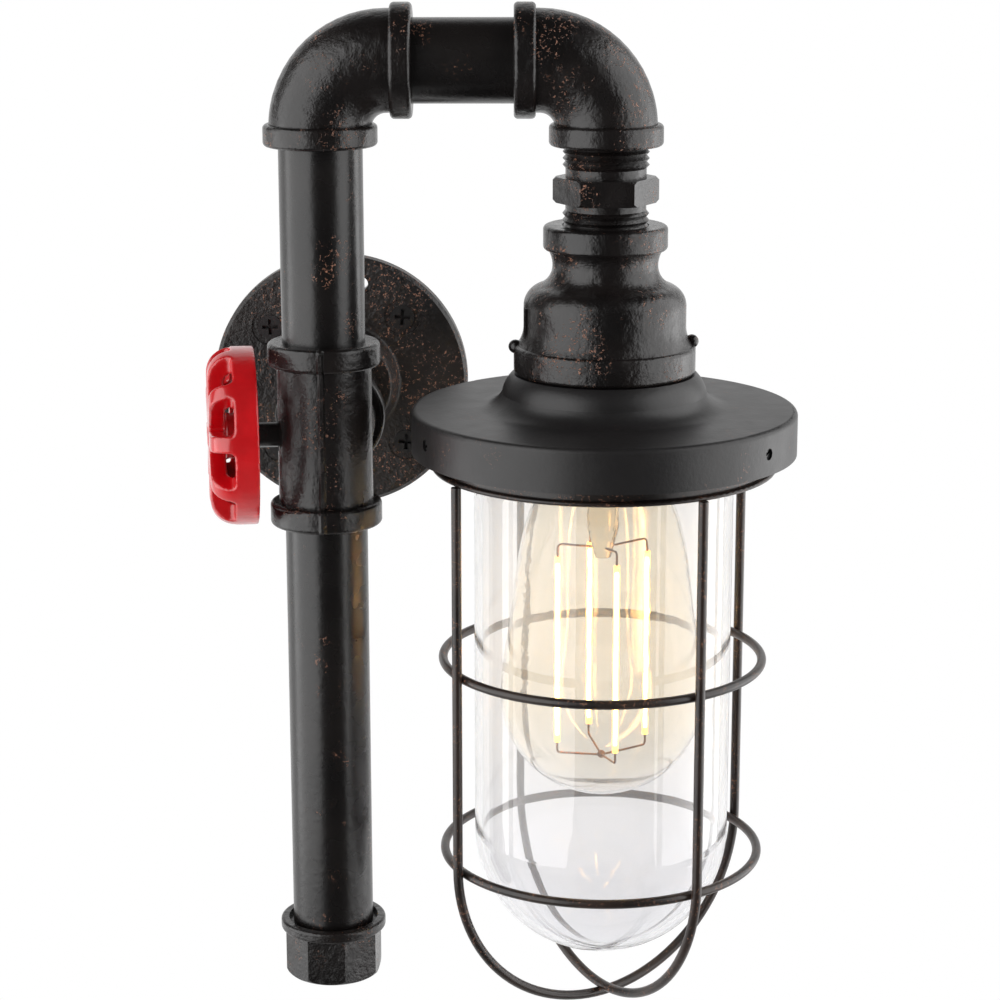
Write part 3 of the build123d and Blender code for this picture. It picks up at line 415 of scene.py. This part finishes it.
def cutWindows(crown):
    # wedges whose sides run parallel to the ribs
    halfPitch = math.pi / wheel["ribs"]
    apex = wheel["ribWidth"] / 2 / math.sin(halfPitch)
    near, far = apex + wheel["windowTip"], wheel["radius"] + wheel["windowReach"]
    tall = wheel["windowHeight"]
    for k in range(wheel["ribs"]):
        clearSelection()
        bpy.ops.mesh.primitive_cube_add(size=1)
        window = bpy.context.object
        bpy.ops.object.mode_set(mode="EDIT")
        bpy.ops.transform.resize(value=(far - near, 1.0, tall))
        bpy.ops.transform.translate(value=((far + near) / 2, 0, wheel["bandWidth"] + tall / 2))
        bpy.ops.mesh.select_mode(type="FACE")
        for side, radius in ((1, far), (-1, near)):
            pickFaces(window, lambda centre, normal: normal.x * side > 0.9)
            width = 2 * (radius - apex) * math.tan(halfPitch)
            bpy.ops.transform.resize(value=(1, width, 1))
        bpy.ops.mesh.select_all(action="SELECT")
        bpy.ops.mesh.bevel(offset=wheel["windowRound"], segments=3)
        bpy.ops.mesh.select_all(action="SELECT")
        angle = (k + 0.5) * 2 * halfPitch + math.radians(wheel["firstRib"])
        bpy.ops.transform.rotate(value=-angle, orient_axis="Z", center_override=(0, 0, 0))
        bpy.ops.object.mode_set(mode="OBJECT")
        applyModifier(crown, "BOOLEAN", object=window, operation="DIFFERENCE", solver="MANIFOLD")
        bpy.data.objects.remove(window)


def addHub(crown):
    clearSelection()
    low, high = wheel["hubBack"] - wheel["back"], wheel["hubFront"] - wheel["back"]
    bpy.ops.mesh.primitive_cylinder_add(
        vertices=wheel["hubSides"], radius=wheel["hubRadius"], depth=high - low,
        location=(0, 0, (low + high) / 2))
    crown.select_set(True)
    bpy.context.view_layer.objects.active = crown
    bpy.ops.object.join()


def buildHandwheel():
    crown = buildCrown()
    cutWindows(crown)
    addHub(crown)

    # a soft cast skin over the whole form
    applyModifier(crown, "REMESH", mode="VOXEL", voxel_size=wheel["voxel"])
    applyModifier(crown, "SMOOTH", factor=0.5, iterations=wheel["softness"])
    bpy.ops.object.shade_smooth()

    # laid on the spindle: Z turns to -X, then a little towards the room
    lay = Matrix.Translation(wheel["centre"]) @ Matrix.Rotation(math.radians(wheel["turn"]), 4, "Z") \
        @ Matrix.Rotation(-math.pi / 2, 4, "Y") @ Matrix.Translation((0, 0, wheel["back"]))
    crown.data.transform(Matrix.Scale(mm, 4) @ lay)
    crown.name = crown.data.name = "handwheel_cast"
    crown.data.materials.clear()
    crown.data.materials.append(wheelRed)
    return crown


handwheelCast = buildHandwheel()
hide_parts("handwheel")
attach(handwheelCast, "wheel")
print("stage: handwheel,", len(handwheelCast.data.polygons), "faces")


# Filament cores: the rows of chips under the phosphor coat, round the lamp's axis

filament = {"count": 4, "turn": 15.0, "circle": 14.5, "radius": 0.6, "bareEnd": 2.2, "endRound": 0.2}


def buildFilamentCores():
    low, high = (corner[2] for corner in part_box("bulb_filaments"))
    length = high - low - 2 * filament["bareEnd"] * mm
    cores = []
    for k in range(filament["count"]):
        angle = math.radians(filament["turn"] + 360 / filament["count"] * k)
        place = (lampAxis[0] + filament["circle"] * mm * math.sin(angle),
                 lampAxis[1] - filament["circle"] * mm * math.cos(angle), (low + high) / 2)
        clearSelection()
        bpy.ops.mesh.primitive_cylinder_add(
            vertices=16, radius=filament["radius"] * mm, depth=length, location=place)
        core = bpy.context.object
        bpy.ops.object.transform_apply(location=True)
        bpy.ops.object.mode_set(mode="EDIT")
        bpy.ops.mesh.select_mode(type="FACE")
        pickFaces(core, lambda centre, normal: abs(normal.z) > 0.9)
        bpy.ops.mesh.bevel(offset=filament["endRound"] * mm, segments=2)
        bpy.ops.object.mode_set(mode="OBJECT")
        cores.append(core)
    for core in cores:
        core.select_set(True)
    bpy.ops.object.join()
    joined = bpy.context.object
    joined.name = joined.data.name = "filament_cores"
    joined.data.materials.append(chipGlow)
    bpy.ops.object.shade_smooth_by_angle(angle=math.radians(50))
    return joined


filamentCores = buildFilamentCores()
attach(filamentCores, "bulb")
print("stage: filament cores")


# Camera: place in mm, angles in radians

view = {"place": (58.16, -887.34, 177.18), "pitch": 0.2429, "yaw": -0.0056, "roll": 0.0013, "lens": 96.22}


def addCamera():
    pitch, yaw = view["pitch"], view["yaw"]
    forward = Vector((math.sin(yaw) * math.cos(pitch), math.cos(yaw) * math.cos(pitch), -math.sin(pitch)))
    right = Vector((math.cos(yaw), -math.sin(yaw), 0))
    turn = Matrix.Rotation(view["roll"], 3, forward)
    right, up = turn @ right, turn @ right.cross(forward)
    data = bpy.data.cameras.new("photoCamera")
    data.lens, data.sensor_width, data.clip_start = view["lens"], 36.0, 0.01
    camera = bpy.data.objects.new("photoCamera", data)
    bpy.context.scene.collection.objects.link(camera)
    basis = Matrix((right, up, -forward)).transposed().to_4x4()
    camera.matrix_world = Matrix.Translation(Vector(view["place"]) * mm) @ basis
    bpy.context.scene.camera = camera


# Floor, lamps and world. Lengths in metres.

floorLook = {
    "height": -0.6, "size": 60.0, "pale": srgb(236, 236, 236),
    "shade": 0.35, "near": 0.3, "far": 0.75,                # share of real shade near the lamp, gone when far
    "frontDark": 0.06, "darkFrom": 0.1, "darkTo": -0.5,     # how gloss sees the floor in front of the lamp
}


def addFloor():
    clearSelection()
    bpy.ops.mesh.primitive_plane_add(size=floorLook["size"], location=(0, 0, floorLook["height"]))
    floor = bpy.context.object
    floor.name = "floor"
    material, start, place = newMaterial("floorPale")
    glossy = start.ray("Is Glossy Ray")
    seen = start.ray("Is Camera Ray").orElse(start.ray("Is Transmission Ray"))
    faded = place.length().step(floorLook["near"], floorLook["far"])
    white = seen * (faded * floorLook["shade"] + (1 - floorLook["shade"]))
    front = place.parts()[1].step(floorLook["darkFrom"], floorLook["darkTo"])
    strength = 1 - front * glossy * (1 - floorLook["frontDark"])
    matte = start.node("ShaderNodeBsdfDiffuse", inputs={"Color": floorLook["pale"]})
    glow = start.node("ShaderNodeEmission", inputs={"Color": (1, 1, 1, 1), "Strength": strength})
    finishMaterial(start, mixShaders(start, white.orElse(glossy), matte, glow))
    floor.data.materials.append(material)


panelCentre = Vector((0.04, -0.08, 0.0))
panels = {
    # bearing seen from above, in degrees from the camera's side, positive to the right; one metre away
    "panelLeft": {"bearing": -64.5, "radiance": 2.5, "width": 1.75, "height": 2.2, "rise": 0.15},
    "panelRight": {"bearing": 87.5, "radiance": 2.4, "width": 1.7, "height": 2.2, "rise": 0.1},
}


def addPanels():
    for name, look in panels.items():
        bearing = math.radians(look["bearing"])
        outward = Vector((math.sin(bearing), -math.cos(bearing), 0))
        lamp = bpy.data.lights.new(name, "AREA")
        lamp.shape, lamp.size, lamp.size_y = "RECTANGLE", look["width"], look["height"]
        lamp.energy = look["radiance"] * math.pi * look["width"] * look["height"]
        panel = bpy.data.objects.new(name, lamp)
        bpy.context.scene.collection.objects.link(panel)
        panel.location = panelCentre + outward + Vector((0, 0, look["rise"]))
        panel.rotation_euler = outward.to_track_quat("Z", "Y").to_euler()
        panel.visible_camera = panel.visible_transmission = False


# gloss sees white behind the lamp and nearly black in front of it; everything else is lit by the fill
worldLook = {"fill": 0.3, "front": 0.04, "turnFrom": 0.45, "turnTo": 0.95}


def addWorld():
    world = bpy.data.worlds.new("studio")
    bpy.context.scene.world = world
    world.use_nodes = True
    tree = world.node_tree
    tree.nodes.clear()
    start = Flow(tree)
    direction = start.node("ShaderNodeTexCoord", output="Generated").parts()[1]
    through = start.ray("Is Camera Ray").orElse(start.ray("Is Transmission Ray"))
    glossy = start.ray("Is Glossy Ray")
    behind = direction.step(worldLook["turnFrom"], worldLook["turnTo"])
    reflected = behind * (1 - worldLook["front"]) + worldLook["front"]
    level = through + (1 - through) * (glossy * reflected + (1 - glossy) * worldLook["fill"])
    background = start.node("ShaderNodeBackground", inputs={"Color": (1, 1, 1, 1), "Strength": level})
    output = tree.nodes.new("ShaderNodeOutputWorld")
    tree.links.new(background.socket, output.inputs["Surface"])


addCamera()
addFloor()
addPanels()
addWorld()
bpy.context.scene.view_settings.view_transform = "Standard"
print("stage: camera, floor and light")
